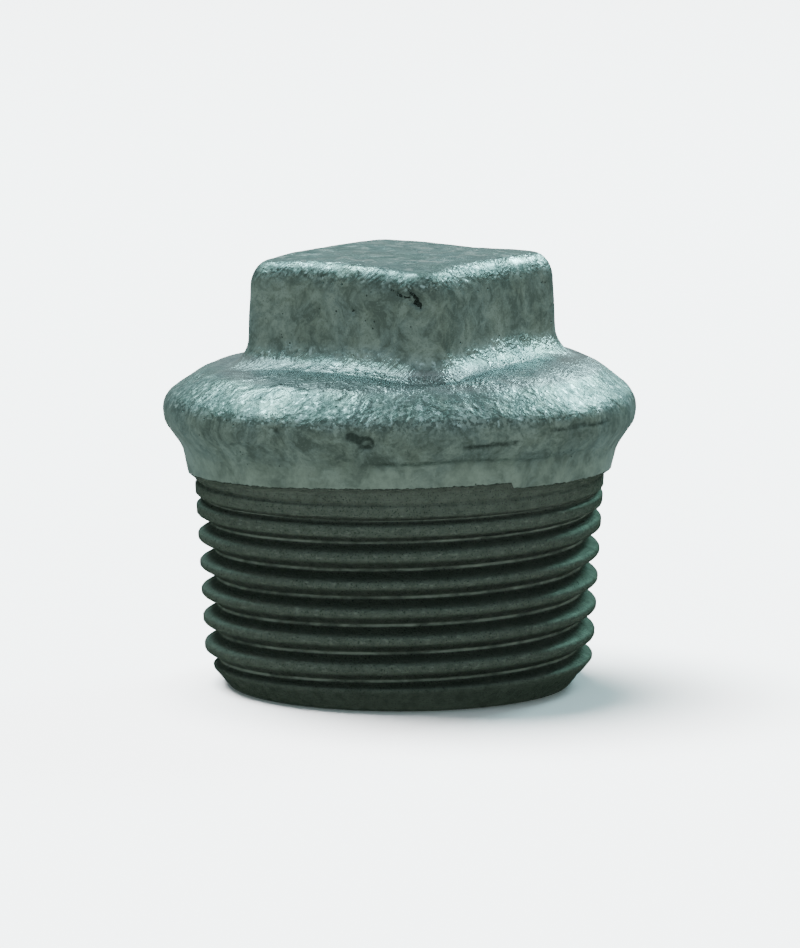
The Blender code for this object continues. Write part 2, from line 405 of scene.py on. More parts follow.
class Skin:
    """The casting's surface, gathered ring by ring from the top of the head round to the hollow."""

    def __init__(self):
        self.vertices = []
        self.faces = []
        self.last = None

    def add_ring(self, radius, z, count, shift=0.0):
        """Adds a ring and joins it to the one before. The shift moves it towards the image's right."""
        angle = ring_angles(count)
        x = radius * np.cos(angle) + shift * SIDEWAYS.x
        y = radius * np.sin(angle) + shift * SIDEWAYS.y
        points = np.stack([x, y, np.broadcast_to(z, x.shape)], axis=1)
        ring = list(range(len(self.vertices), len(self.vertices) + count))
        self.vertices += points.tolist()
        if self.last:
            self.join(self.last, ring)
        self.last = ring

    def join(self, above, below):
        """Joins two rings with quads, or with triangles where their counts differ."""
        a, b = len(above), len(below)
        if a == b:
            for j in range(a):
                k = (j + 1) % a
                self.faces.append((above[j], below[j], below[k], above[k]))
            return
        i = j = 0
        while i < a or j < b:
            on_above = (i + 1) * b <= (j + 1) * a
            if on_above:
                self.faces.append((above[i % a], below[j % b], above[(i + 1) % a]))
                i += 1
            else:
                self.faces.append((above[i % a], below[j % b], below[(j + 1) % b]))
                j += 1

    def close(self, z, shift=0.0, first=False):
        """Closes the last ring on a point at the axis; the first such point starts the surface."""
        centre = len(self.vertices)
        self.vertices.append([shift * SIDEWAYS.x, shift * SIDEWAYS.y, z])
        count = len(self.last)
        for j in range(count):
            k = (j + 1) % count
            if first:
                self.faces.append((centre, self.last[j], self.last[k]))
            else:
                self.faces.append((self.last[j], centre, self.last[k]))

    def add_spiral(self, low, high):
        """The threaded band, with its rows along the helix, trimmed level at both ends."""
        step = PITCH / ROWS_PER_PITCH
        first = math.ceil((high - CREST_HEIGHT_AT_X) / step)
        last = math.floor((low - PITCH - CREST_HEIGHT_AT_X) / step)
        columns = np.arange(COLUMNS + 1)
        angle = columns * math.tau / COLUMNS
        start = len(self.vertices)
        for row in range(first, last - 1, -1):
            z = CREST_HEIGHT_AT_X + PITCH * angle / math.tau + row * step
            z = np.where(z > high - step / 2, high, z)
            z = np.where(z < low + step / 2, low, z)
            radius = thread_radius(angle, z)
            points = np.stack([radius * np.cos(angle), radius * np.sin(angle), z], axis=1)
            self.vertices += points.tolist()
        width = COLUMNS + 1
        for row in range(first - last):
            for j in range(COLUMNS):
                a = start + row * width + j
                self.faces.append((a, a + width, a + width + 1, a + 1))


def top_columns(share):
    """How many points a ring of the top face has, with fewer towards the face's middle."""
    if share > 0.7:
        return COLUMNS
    return COLUMNS // 2 if share > 0.3 else COLUMNS // 6


def add_head_top(skin, angle):
    """The top face from its middle outwards, and the rounding round it."""
    face_half = HEAD_HALF_TOP - TOP_ROUNDING
    face_rounding = CORNER_ROUNDING - TOP_ROUNDING
    shares = np.linspace(TOP_FACE_MIDDLE, 1.0, TOP_FACE_RINGS)
    for share in shares:
        count = top_columns(share)
        around = ring_angles(count)
        reach = rounded_square(around, face_half, face_rounding) * share
        skin.add_ring(reach, TOTAL_HEIGHT - corner_droop(around) * share**4, count, HEAD_SHIFT)
        if share == shares[0]:
            skin.close(TOTAL_HEIGHT, HEAD_SHIFT, first=True)
    for i in range(1, TOP_EDGE_RINGS + 1):
        tilt = math.pi / 2 * i / TOP_EDGE_RINGS
        out = TOP_ROUNDING * math.sin(tilt)
        z = TOTAL_HEIGHT - corner_droop(angle) - TOP_FALL * (1 - math.cos(tilt))
        reach = rounded_square(angle, face_half + out, face_rounding + out)
        skin.add_ring(reach, z, COLUMNS, HEAD_SHIFT)


def add_head_sides(skin, angle):
    """The drafted flats, the fillet at their foot, and the shoulder out to a round ring."""
    fillet_half = HEAD_HALF_FOOT + FOOT_FILLET
    fillet_rounding = CORNER_ROUNDING + FOOT_FILLET
    fillet_reach = rounded_square(angle, fillet_half, fillet_rounding)
    foot = shoulder_height(fillet_reach, angle)
    top = TOTAL_HEIGHT - corner_droop(angle) - TOP_FALL
    for i in range(1, FLAT_RINGS + 1):
        share = i / FLAT_RINGS
        z = top + (foot + FOOT_FILLET - top) * share
        half = HEAD_HALF_TOP + (HEAD_HALF_FOOT - HEAD_HALF_TOP) * share
        skin.add_ring(rounded_square(angle, half, CORNER_ROUNDING), z, COLUMNS, HEAD_SHIFT)
    for i in range(1, FILLET_RINGS + 1):
        tilt = math.pi / 2 * i / FILLET_RINGS
        out = FOOT_FILLET * (1 - math.cos(tilt))
        z = foot + FOOT_FILLET * (1 - math.sin(tilt))
        reach = rounded_square(angle, HEAD_HALF_FOOT + out, CORNER_ROUNDING + out)
        skin.add_ring(reach, z, COLUMNS, HEAD_SHIFT)
    for i in range(1, SHOULDER_RINGS + 1):
        share = i / SHOULDER_RINGS
        radius = fillet_reach + (SHOULDER_END[0] - fillet_reach) * share
        z = shoulder_height(radius, angle)
        skin.add_ring(radius, z, COLUMNS, HEAD_SHIFT * (1 - share))


def add_collar(skin, angle):
    """The bead and the neck, down to the edge of the zinc."""
    rows = evenly(COLLAR, OUTLINE_SPACING)
    for radius, z in rows[1:]:
        if z < NECK_ROWS_START:
            break
        lifted = np.clip((z - BEAD_FOOT[0][1]) / (SHOULDER_END[1] - BEAD_FOOT[0][1]), 0.0, 1.0)
        skin.add_ring(np.full(COLUMNS, radius), z + shoulder_lift(angle) * lifted, COLUMNS)
    edge = cut_edge(angle)
    for i in range(1, NECK_RINGS + 1):
        z = NECK_ROWS_START + (edge - NECK_ROWS_START) * i / NECK_RINGS
        skin.add_ring(neck_radius(z), z, COLUMNS)


def add_cut_band(skin, angle):
    """The step under the zinc, and the wash-out of the thread down to its spiral rows."""
    edge = cut_edge(angle)
    for share in (0.35, 1.0):
        z = edge - LIP_DROP * share
        radius = neck_radius(edge) + (thread_radius(angle, z) - neck_radius(edge)) * share
        skin.add_ring(radius, z, COLUMNS)
    below = edge - LIP_DROP
    for i in range(1, WASH_OUT_RINGS + 1):
        z = below + (SPIRAL_HIGH - below) * i / WASH_OUT_RINGS
        skin.add_ring(thread_radius(angle, z), z, COLUMNS)


def add_end(skin, angle):
    """The rounded edge of the end, its flat ring, and the hollow up into the head."""
    skin.last = None
    skin.add_ring(thread_radius(angle, SPIRAL_LOW), SPIRAL_LOW, COLUMNS)
    skin.add_ring(np.full(COLUMNS, END_RADIUS), END_EDGE / 4, COLUMNS)
    skin.add_ring(np.full(COLUMNS, END_RADIUS - END_EDGE), 0.0, COLUMNS)
    for share in (0.35, 0.7, 1.0):
        radius = END_RADIUS + (MOUTH_RADIUS + MOUTH_EDGE - END_RADIUS) * share
        count = COLUMNS if share < 0.5 else HOLLOW_COLUMNS
        skin.add_ring(np.full(count, radius), 0.0, count)
    start = (MOUTH_RADIUS, MOUTH_EDGE)
    pocket_z = POCKET_TOP[0][1]
    outline = outline_through(start, [HOLLOW_SHOULDER, POCKET_FOOT, POCKET_TOP], (0.0, pocket_z))
    for radius, z in evenly(outline, HOLLOW_SPACING)[:-1]:
        skin.add_ring(np.full(HOLLOW_COLUMNS, radius), z, HOLLOW_COLUMNS)
    skin.close(pocket_z)


def casting_mesh():
    """The whole surface as one closed, welded mesh."""
    skin = Skin()
    angle = ring_angles(COLUMNS)
    add_head_top(skin, angle)
    add_head_sides(skin, angle)
    add_collar(skin, angle)
    add_cut_band(skin, angle)
    skin.add_spiral(SPIRAL_LOW, SPIRAL_HIGH)
    add_end(skin, angle)
    mesh = bpy.data.meshes.new("plug_casting")
    mesh.from_pydata(skin.vertices, [], skin.faces)
    welded = bmesh.new()
    welded.from_mesh(mesh)
    bmesh.ops.remove_doubles(welded, verts=welded.verts, dist=WELD)
    welded.to_mesh(mesh)
    welded.free()
    return mesh


def coordinates(mesh):
    flat = np.empty(len(mesh.vertices) * 3, np.float32)
    mesh.vertices.foreach_get("co", flat)
    return flat.reshape(-1, 3).astype(float)


def normals(mesh):
    flat = np.empty(len(mesh.vertices) * 3, np.float32)
    mesh.vertex_normals.foreach_get("vector", flat)
    return flat.reshape(-1, 3).astype(float)


def lumps(points, size, seed):
    """Smooth noise from about -1 to 1 at each point, with lumps of about this size."""
    offset = Vector((seed * 7.3, seed * 3.1, seed * 5.7))
    return np.array([noise.noise(Vector(p / size) + offset) for p in points])


def ramp(value, low, high):
    """Rises smoothly from 0 at low to 1 at high."""
    t = np.clip((value - low) / (high - low), 0.0, 1.0)
    return t * t * (3 - 2 * t)


def from_stroke(points, stroke):
    """How far each point is from a straight stroke, which may be no more than a dot."""
    start, end = stroke[:2]
    along = np.subtract(end, start)
    length = max(float(along @ along), 1e-12)
    share = np.clip((points - start) @ along / length, 0.0, 1.0)
    nearest = np.asarray(start) + share[:, None] * along
    return np.linalg.norm(points - nearest, axis=1)


def dips(points, strokes, share):
    """The depth of the dips along strokes, and how far each point is outside that share of their width."""
    depth = np.zeros(len(points))
    gap = np.full(len(points), WIDEST_GAP)
    for stroke in strokes:
        distance = from_stroke(points, stroke)
        half_width, deepest = stroke[2:]
        depth += (1 - ramp(distance, BOTTOM_SHARE * half_width, half_width)) * deepest
        gap = np.minimum(gap, distance - share * half_width)
    return depth, gap


def on_bead(degrees, z):
    """The point of the turned outline at an angle from the front and a height."""
    angle = FRONT + math.radians(degrees)
    radius = float(np.interp(-z, -COLLAR[:, 1], COLLAR[:, 0]))
    return (radius * math.cos(angle), radius * math.sin(angle), z)


def on_left_flat(x, z):
    """The point of the front left flat, or of its rounded corner, so many millimetres along and high."""
    past = max(x * MM - (HEAD_HALF_TOP - CORNER_ROUNDING), 0.0)
    y = CORNER_ROUNDING - HEAD_HALF_TOP - math.sqrt(CORNER_ROUNDING**2 - past**2)
    return (x * MM + HEAD_SHIFT * SIDEWAYS.x, y + HEAD_SHIFT * SIDEWAYS.y, z * MM)


def chained(path, half_width, depth):
    """Strokes along a path, with their half width and depth given in millimetres."""
    return [(a, b, half_width * MM, depth * MM) for a, b in zip(path, path[1:])]


def casting_folds():
    """Soft creases where the zinc folded over, which change the shape but not the colour."""
    under_bead = [on_bead(-8 + 5.0 * i, (20.70 - 0.12 * math.sin(0.9 * i)) * MM) for i in range(16)]
    at_back = [on_bead(150 + 5.0 * i, (21.0 + 0.10 * math.sin(0.8 * i)) * MM) for i in range(12)]
    return chained(under_bead, 0.75, 0.10) + chained(at_back, 0.70, 0.08)


def casting_scars():
    """Cracks and holes left by the mould in the head's flats, which the material paints black as shade."""
    side_x = HEAD_HALF_TOP + HEAD_SHIFT * SIDEWAYS.x
    left = [(5.75, 34.42), (6.10, 34.32), (6.40, 34.10)]
    upper = [(7.20, 34.60), (8.05, 34.07), (8.45, 33.67), (8.58, 33.10)]
    lower = [(6.65, 33.92), (7.55, 33.84), (8.10, 33.45), (8.45, 33.20)]
    pinhole = [(2.18, 32.30), (2.22, 32.30)]
    marks = [(left, 0.40, 0.12), (upper, 0.46, 0.16), (lower, 0.38, 0.14), (pinhole, 0.34, 0.16)]
    marks += [([(x, 34.55), (x + 0.3, 34.50)], 0.36, 0.12) for x in (-1.10, -0.25, 0.60)]
    scars = []
    for path, half_width, depth in marks:
        scars += chained([on_left_flat(*place) for place in path], half_width, depth)
    dent = [(side_x, 6.3 * MM, 33.9 * MM), (side_x, 6.7 * MM, 33.6 * MM)]
    return scars + chained(dent, 0.36, 0.10)


def casting_pits():
    """Shallow pits and creases in the bead, which the material paints dark as shade."""
    main = [on_bead(-11.7, 23.36 * MM), on_bead(-9.7, 23.12 * MM)]
    turned = [math.radians(120 - 30 * i) for i in range(10)]
    rim = [on_bead(-8.0 + 1.45 * math.cos(a), (22.80 + 0.44 * math.sin(a)) * MM) for a in turned]
    behind = [on_bead(118, 23.2 * MM), on_bead(121, 23.1 * MM)]
    small = [on_bead(-31, 23.6 * MM), on_bead(-30, 23.5 * MM)]
    crease = [on_bead(16 + 2.2 * i, (22.34 + 0.04 * i + 0.07 * math.sin(2.3 * i)) * MM) for i in range(7)]
    shallow_mark = [on_bead(39 + 3.6 * i, (23.38 - 0.10 * math.sin(1.7 * i)) * MM) for i in range(7)]
    pits = chained(main, 0.90, 0.20) + chained(rim, 0.54, 0.12) + chained(behind, 0.70, 0.20)
    return pits + chained(small, 0.40, 0.10) + chained(crease, 0.42, 0.12) + chained(shallow_mark, 0.34, 0.08)


def crinkling(points, outward):
    """How crinkled the zinc is: most on slopes that face up, where it drained, least on the neck."""
    facing_up, height = outward[:, 2], points[:, 2]
    sloping = ramp(facing_up, *SLOPE_BAND) * (1 - LESS_ON_LEVEL * ramp(facing_up, *LEVEL_BAND))
    on_top = CRINKLED_ON_TOP * ramp(height, *TOP_CRINKLE_BAND)
    smooth_neck = LESS_ON_NECK * (1 - ramp(height, *NECK_CRINKLE_BAND))
    return np.clip(CRINKLED_ANYWHERE + CRINKLED_ON_SLOPES * sloping + on_top - smooth_neck, 0.0, 1.0)


def layered(points, layers):
    """The height of several layers of lumps together."""
    return sum(height * lumps(points, size, seed) for height, size, seed in layers)


def zinc_relief(points, crinkle):
    """How far the galvanised skin stands out from the smooth shape at each point."""
    return layered(points, SWELLS) + layered(points, WRINKLES) * crinkle


def cut_relief(points, level):
    """Tearing of the cut thread, and nicks in its crests."""
    tearing = TEARING_HEIGHT * lumps(points * TEARING_STRETCH, TEARING_SIZE, seed=5)
    nicks = ramp(lumps(points, NICK_SIZE, seed=6), *NICK_LUMP_BAND) * ramp(level, *NICK_LEVEL_BAND)
    return tearing - NICK_DEPTH * nicks


def store(mesh, name, values):
    attribute = mesh.attributes.new(name, "FLOAT", "POINT")
    attribute.data.foreach_set("value", values.astype(np.float32))


def shape_relief(mesh, inside, above_cut, level):
    """Moves the vertices along their normals, and stores what the material needs of the relief."""
    points = coordinates(mesh)
    crinkle = crinkling(points, normals(mesh))
    zinc = np.where(inside, 1.0, ramp(above_cut, *ZINC_EDGE_BAND))
    height = zinc * zinc_relief(points, crinkle) + (1 - zinc) * cut_relief(points, level)
    folded, _ = dips(points, casting_folds(), 0.0)
    pitted, pit_shade_gap = dips(points, casting_pits(), PIT_SHADE_SHARE)
    scarred, crack_gap = dips(points, casting_scars(), CRACKED_SHARE)
    height -= folded + pitted + scarred * (0.75 + 0.5 * lumps(points, SCAR_LUMP_SIZE, seed=7))
    on_end = ~inside & (points[:, 2] < SPIRAL_LOW)
    height[on_end] = np.minimum(height[on_end], 0.0)
    points += normals(mesh) * height[:, None]
    points[:, 2] = np.clip(points[:, 2], 0.0, TOTAL_HEIGHT)
    mesh.vertices.foreach_set("co", points.astype(np.float32).ravel())
    mesh.update()
    store(mesh, "crinkle", crinkle)
    store(mesh, "pit_shade_gap", pit_shade_gap / MM)
    store(mesh, "crack_gap", crack_gap / MM)


def is_inside(points):
    """Whether each point is on the hollow's wall."""
    radius = np.hypot(points[:, 0], points[:, 1])
    reach = np.where(points[:, 2] > POCKET_LOW, POCKET_REACH, MOUTH_RADIUS + MOUTH_EDGE / 2)
    return (points[:, 2] < POCKET_HIGH) & (radius < reach)


def make_casting():
    """The plug with its relief, and the values at each point that its material reads."""
    mesh = casting_mesh()
    points = coordinates(mesh)
    angle = np.arctan2(points[:, 1], points[:, 0])
    radius = np.hypot(points[:, 0], points[:, 1])
    above_cut = points[:, 2] - cut_edge(angle)
    inside = is_inside(points)
    root = root_radius(points[:, 2])
    depth = np.maximum(crest_radius(points[:, 2]) - root, LEAST_DEPTH)
    level = np.clip((radius - root) / depth, 0.0, 1.0)
    shape_relief(mesh, inside, above_cut, level)
    store(mesh, "above_cut", above_cut / MM)
    store(mesh, "hollow", inside.astype(float))
    store(mesh, "thread_level", level)
    mesh.shade_smooth()
    obj = bpy.data.objects.new("plug_casting", mesh)
    bpy.context.scene.collection.objects.link(obj)
    return obj


class Graph:
    """Short calls that build the nodes of one material."""

    def __init__(self, name):
        self.material = bpy.data.materials.new(name)
        self.material.use_nodes = True
        self.tree = self.material.node_tree
        self.shader = self.tree.nodes["Principled BSDF"]

    def feed(self, socket, value):
        """Links another node's output to the socket, or sets its constant."""
        if isinstance(value, bpy.types.NodeSocket):
            self.tree.links.new(value, socket)
        else:
            socket.default_value = value

    def node(self, kind, inputs, **settings):
        node = self.tree.nodes.new(kind)
        for key, value in settings.items():
            setattr(node, key, value)
        for key, value in inputs.items():
            self.feed(node.inputs[key], value)
        return node

    def place(self):
        """Where on the piece a point is, in the piece's own frame."""
        return self.node("ShaderNodeTexCoord", {}).outputs["Object"]

    def attribute(self, name):
        """A value that the mesh carries at each point."""
        return self.node("ShaderNodeAttribute", {}, attribute_name=name).outputs["Fac"]

    def math(self, operation, a, b, c=0.0):
        return self.node("ShaderNodeMath", {0: a, 1: b, 2: c}, operation=operation).outputs[0]

    def vector(self, operation, a, b):
        return self.node("ShaderNodeVectorMath", {0: a, 1: b}, operation=operation).outputs["Vector"]

    def noise(self, place, size, detail, roughness=0.55):
        inputs = {"Vector": place, "Scale": 1 / size, "Detail": detail, "Roughness": roughness}
        return self.node("ShaderNodeTexNoise", inputs)

    def grain(self, place, size, detail, roughness=0.55):
        return self.noise(place, size, detail, roughness).outputs["Fac"]

    def warped(self, place, size, amount):
        """The place moved about by noise, so that a pattern there swirls."""
        swirl = self.noise(place, size, 2.0).outputs["Color"]
        centred = self.vector("SUBTRACT", swirl, (0.5, 0.5, 0.5))
        moved = self.vector("MULTIPLY", centred, (amount, amount, amount))
        return self.vector("ADD", place, moved)

    def leaning(self, place, lean, stretch):
        """The place sheared and stretched in height, so that a pattern there runs in leaning strokes."""
        split = self.node("ShaderNodeSeparateXYZ", {0: place}).outputs
        x = self.math("MULTIPLY_ADD", split["Z"], -lean * SIDEWAYS.x, split["X"])
        y = self.math("MULTIPLY_ADD", split["Z"], -lean * SIDEWAYS.y, split["Y"])
        z = self.math("MULTIPLY", split["Z"], stretch)
        return self.node("ShaderNodeCombineXYZ", {0: x, 1: y, 2: z}).outputs[0]

    def ramp(self, value, low, high, start=0.0, end=1.0):
        """Goes smoothly from start, at low, to end, at high."""
        inputs = {"Value": value, "From Min": low, "From Max": high, "To Min": start, "To Max": end}
        node = self.node("ShaderNodeMapRange", inputs, interpolation_type="SMOOTHSTEP")
        return node.outputs["Result"]

    def colour(self, factor, a, b):
        """A colour mixed from two, each a constant or another node's."""
        inputs = {0: factor, 6: (*a, 1.0) if isinstance(a, tuple) else a}
        inputs[7] = (*b, 1.0) if isinstance(b, tuple) else b
        return self.node("ShaderNodeMix", inputs, data_type="RGBA").outputs[2]

    def number(self, factor, a, b):
        """A number mixed from two, as colour mixes two colours."""
        return self.node("ShaderNodeMix", {0: factor, 2: a, 3: b}, data_type="FLOAT").outputs[0]


def zinc_flake_glints(g, place, on_top):
    """Crystal flakes, painted bright as glints: small ones where the zinc is crinkled, wide ones on the top
    face.
    """
    small = g.grain(g.warped(place, *SMALL_FLAKE_SWIRL), SMALL_FLAKE_SIZE, 3.0)
    wide = g.grain(g.warped(place, *WIDE_FLAKE_SWIRL), WIDE_FLAKE_SIZE, 4.0, 0.65)
    small = g.math("MULTIPLY", g.ramp(small, 0.56, 0.68), 0.8)
    flake_glints = g.number(on_top, small, g.ramp(wide, 0.53, 0.60))
    return g.math("MULTIPLY", flake_glints, g.ramp(g.attribute("crinkle"), 0.55, 0.95))


def zinc_patterns(g, place):
    """The patterns and zones that the zinc's colour, edge tint, roughness and relief share."""
    swirled = g.warped(place, *SWIRL)
    height = g.node("ShaderNodeSeparateXYZ", {0: place}).outputs["Z"]
    on_top = g.ramp(height, *TOP_FACE_BAND)
    trough = g.math("SUBTRACT", g.ramp(height, *TROUGH_FOOT_BAND), g.ramp(height, *TROUGH_HEAD_BAND))
    pits = g.node("ShaderNodeTexVoronoi", {"Vector": place, "Scale": 1 / PIT_SPACING})
    pit = g.ramp(pits.outputs["Distance"], 0.05, 0.13, 1.0, 0.0)
    return SimpleNamespace(
        swirled=swirled,
        height=height,
        clouds=g.grain(swirled, CLOUD_SIZE, 4.0, 0.6),
        wisps=g.grain(g.warped(swirled, *WISP_SWIRL), WISP_SIZE, 5.0, 0.66),
        specks=g.grain(place, SPECK_SIZE, 3.0, 0.65),
        pit=g.math("MULTIPLY", pit, g.ramp(g.grain(place, PIT_FIELD_SIZE, 1.0), 0.53, 0.61)),
        on_edge=g.math("SUBTRACT", g.ramp(height, *TOP_EDGE_BAND), on_top),
        trough_sheen=g.math("MULTIPLY", trough, 0.4),
        crinkle=g.attribute("crinkle"),
        flake_glints=zinc_flake_glints(g, place, on_top),
    )


def zinc_colour(g, place, zinc):
    """Cloudy grey-green, with painted light near the cut, grime and painted shade on the bead and the top
    edge, flakes painted bright as glints, a painted grey-blue sheen in the trough, and pits painted black as
    shade.
    """
    tint = g.grain(zinc.swirled, TINT_SIZE, 3.0)
    tone = g.math(
        "ADD", g.ramp(zinc.clouds, 0.28, 0.72, 0.0, 0.40), g.ramp(zinc.wisps, 0.30, 0.70, 0.0, 0.60)
    )
    colour = g.colour(g.ramp(tint, 0.32, 0.68), ZINC_OLIVE, ZINC_TEAL)
    colour = g.colour(g.ramp(tone, 0.15, 0.55), ZINC_DARK, colour)
    colour = g.colour(g.ramp(tone, 0.48, 0.85), colour, ZINC_LIGHT)
    colour = g.colour(g.ramp(zinc.specks, 0.28, 0.48, 0.75, 0.0), colour, ZINC_DARK)
    colour = g.colour(g.ramp(zinc.specks, 0.54, 0.74, 0.0, 0.60), colour, ZINC_LIGHT)
    # Painted light: the neck above the cut is paler, standing in for light thrown up from below.
    painted_neck_light = g.ramp(g.attribute("above_cut"), *NECK_PAINTED_LIGHT_BAND, 0.9, 0.0)
    patchy = g.ramp(g.grain(zinc.swirled, PATCH_SIZE, 4.0), 0.36, 0.62, 0.30, 1.0)
    colour = g.colour(g.math("MULTIPLY", painted_neck_light, patchy), colour, NECK_PAINTED_LIGHT)
    # Dark specks on the bead and the top edge: partly grime, partly painted shade that dims their highlights.
    on_bead = g.ramp(zinc.height, *BEAD_GRIME_AND_SHADE_BAND, 1.0, 0.0)
    grime_and_shade = g.ramp(g.grain(place, GRIME_AND_SHADE_SIZE, 4.0, 0.65), 0.45, 0.57, 0.0, 0.85)
    grime_and_shade = g.math("MULTIPLY", grime_and_shade, g.math("ADD", on_bead, zinc.on_edge))
    colour = g.colour(g.math("MULTIPLY", grime_and_shade, zinc.crinkle), colour, ZINC_GRIME_AND_SHADE)
    # Painted glints: the flakes get a bright colour as well as their lower roughness.
    colour = g.colour(zinc.flake_glints, colour, ZINC_FLAKE_GLINT)
    # Painted sheen: the trough under the head is greyer, for the grey-blue light it reflects.
    colour = g.colour(zinc.trough_sheen, colour, ZINC_TROUGH_PAINTED_SHEEN)
    # Painted shade: the small pits are nearly black.
    return g.colour(g.math("MULTIPLY", zinc.pit, 0.85), colour, BLACK_SHADE_AND_SPECKS)


def zinc_edge_tint(g, zinc):
    """Bright where flakes and specks glint at a grazing angle, and greyer in the trough, whose grey-blue
    sheen is painted.
    """
    shine = g.math("MULTIPLY_ADD", zinc.flake_glints, 0.85, g.ramp(zinc.specks, 0.30, 0.70, 0.0, 0.50))
    return g.colour(zinc.trough_sheen, g.colour(shine, ZINC_EDGE_DULL, ZINC_EDGE_BRIGHT), TROUGH_EDGE_PAINTED_SHEEN)


def zinc_roughness(g, zinc):
    """Shinier in the flakes, and duller on the bead and along the head's top edge."""
    rough = g.ramp(zinc.clouds, 0.3, 0.7, 0.42, 0.28)
    rough = g.math("ADD", rough, g.ramp(zinc.specks, 0.3, 0.7, -0.04, 0.08))
    rough = g.math("MULTIPLY_ADD", zinc.flake_glints, -0.10, rough)
    rough = g.math("ADD", rough, g.ramp(zinc.height, *BEAD_DULL_BAND, 0.09, 0.0))
    return g.math("MULTIPLY_ADD", zinc.on_edge, 0.09, rough)


def zinc_height(g, place, zinc):
    """Grains, mostly on the bead, and leaning strokes, mostly on the head, with wisps, specks and pits."""
    grains = g.grain(g.warped(place, *GRAIN_SWIRL), GRAIN_SIZE, 2.0, 0.5)
    strokes = g.grain(g.leaning(place, STROKE_LEAN, STROKE_STRETCH), STROKE_SIZE, 2.0, 0.5)
    on_head = g.ramp(zinc.height, *HEAD_BAND)
    crinkles = g.math("MULTIPLY", strokes, g.ramp(on_head, 0.0, 1.0, 0.26, 0.70))
    crinkles = g.math("MULTIPLY_ADD", grains, g.ramp(on_head, 0.0, 1.0, 0.46, 0.16), crinkles)
    patchy = g.ramp(g.grain(zinc.swirled, PATCH_SIZE, 3.0), 0.36, 0.64, 0.25, 1.0)
    height = g.math("MULTIPLY", crinkles, g.math("MULTIPLY", zinc.crinkle, patchy))
    height = g.math("MULTIPLY_ADD", zinc.wisps, 0.10, height)
    height = g.math("MULTIPLY_ADD", zinc.specks, 0.06, height)
    return g.math("SUBTRACT", height, g.math("MULTIPLY", zinc.pit, 0.15))


def cut_patterns(g, place):
    """The tool marks, tears, mottling and specks that the cut metal's colour and relief share."""
    around = g.vector("MULTIPLY", place, (0.10, 0.10, 1.0))
    upright = g.vector("MULTIPLY", place, (1.0, 1.0, 0.15))
    flat = g.vector("MULTIPLY", place, (1.0, 1.0, 2.5))
    return SimpleNamespace(
        turned=g.grain(around, TURNED_MARK_SIZE, 3.0, 0.6),
        torn=g.grain(upright, TORN_MARK_SIZE, 3.0),
        mottled=g.grain(place, CUT_MOTTLE_SIZE, 4.0, 0.65),
        specks=g.grain(place, CUT_SPECK_SIZE, 2.0),
        dashes=g.grain(flat, CREST_DASH_SIZE, 3.0, 0.6),
    )


def cut_colour(g, place, cut):
    """Dark metal with darker tool marks, flanks painted darker as shade in the grooves, crests partly worn
    and partly painted with glints, root lines painted pale as highlights, and the end painted dark as shade
    near the floor.
    """
    level = g.attribute("thread_level")
    above_cut = g.attribute("above_cut")
    on_thread = g.ramp(above_cut, *THREAD_TOP_BAND, 1.0, 0.0)
    # Painted shade: the thread's flanks are darker, for the shade in its grooves.
    groove_shade = g.math("MULTIPLY", g.ramp(level, 0.60, 0.90, 0.60, 0.0), on_thread)
    colour = g.colour(g.ramp(cut.mottled, 0.15, 0.60), CUT_DARK_AND_SHADE, CUT_COLOUR)
    colour = g.colour(g.math("MULTIPLY", on_thread, 0.6), colour, THREAD_COLOUR)
    colour = g.colour(groove_shade, colour, CUT_DARK_AND_SHADE)
    colour = g.colour(g.ramp(cut.turned, 0.32, 0.62, 0.45, 0.0), colour, CUT_DARK_AND_SHADE)
    colour = g.colour(g.ramp(cut.torn, 0.35, 0.65, 0.25, 0.0), colour, CUT_DARK_AND_SHADE)
    colour = g.colour(g.ramp(cut.specks, 0.30, 0.44, 0.7, 0.0), colour, BLACK_SHADE_AND_SPECKS)
    colour = g.colour(g.ramp(cut.specks, 0.5, 0.8, 0.0, 0.5), colour, CUT_COLOUR)
    # Crest dashes: partly wear, partly painted glints along the crests' upper edges.
    worn_and_glinting = g.math("MULTIPLY", g.ramp(level, 0.72, 0.95), g.ramp(cut.dashes, 0.50, 0.80, 0.0, 0.5))
    # Painted highlights: pale dashed lines along the roots.
    along_root = g.grain(g.vector("MULTIPLY", place, (0.3, 0.3, 1.0)), ROOT_DASH_SIZE, 3.0, 0.6)
    root = g.math("MULTIPLY", g.ramp(level, 0.03, 0.11, 1.0, 0.0), g.ramp(along_root, 0.36, 0.62, 0.15, 1.0))
    root = g.math("MULTIPLY", root, g.ramp(above_cut, *ROOT_LINES_BAND))
    colour = g.colour(g.math("MULTIPLY", g.math("ADD", worn_and_glinting, root), on_thread), colour, CUT_WEAR_AND_GLINT)
    # Painted shade: the thread's end is darker, for the shade near the floor.
    at_end = g.ramp(above_cut, *END_SHADE_BAND, 0.8, 0.0)
    return g.colour(g.math("MULTIPLY", at_end, g.ramp(cut.mottled, 0.3, 0.6, 1.0, 0.6)), colour, END_PAINTED_SHADE)


def cut_height(g, cut):
    """The relief that the tool marks, tears, dashes and specks give the cut metal."""
    height = g.math("MULTIPLY_ADD", cut.turned, 0.14, g.math("MULTIPLY", cut.torn, 0.05))
    height = g.math("MULTIPLY_ADD", cut.dashes, 0.20, height)
    return g.math("MULTIPLY_ADD", cut.specks, 0.10, height)


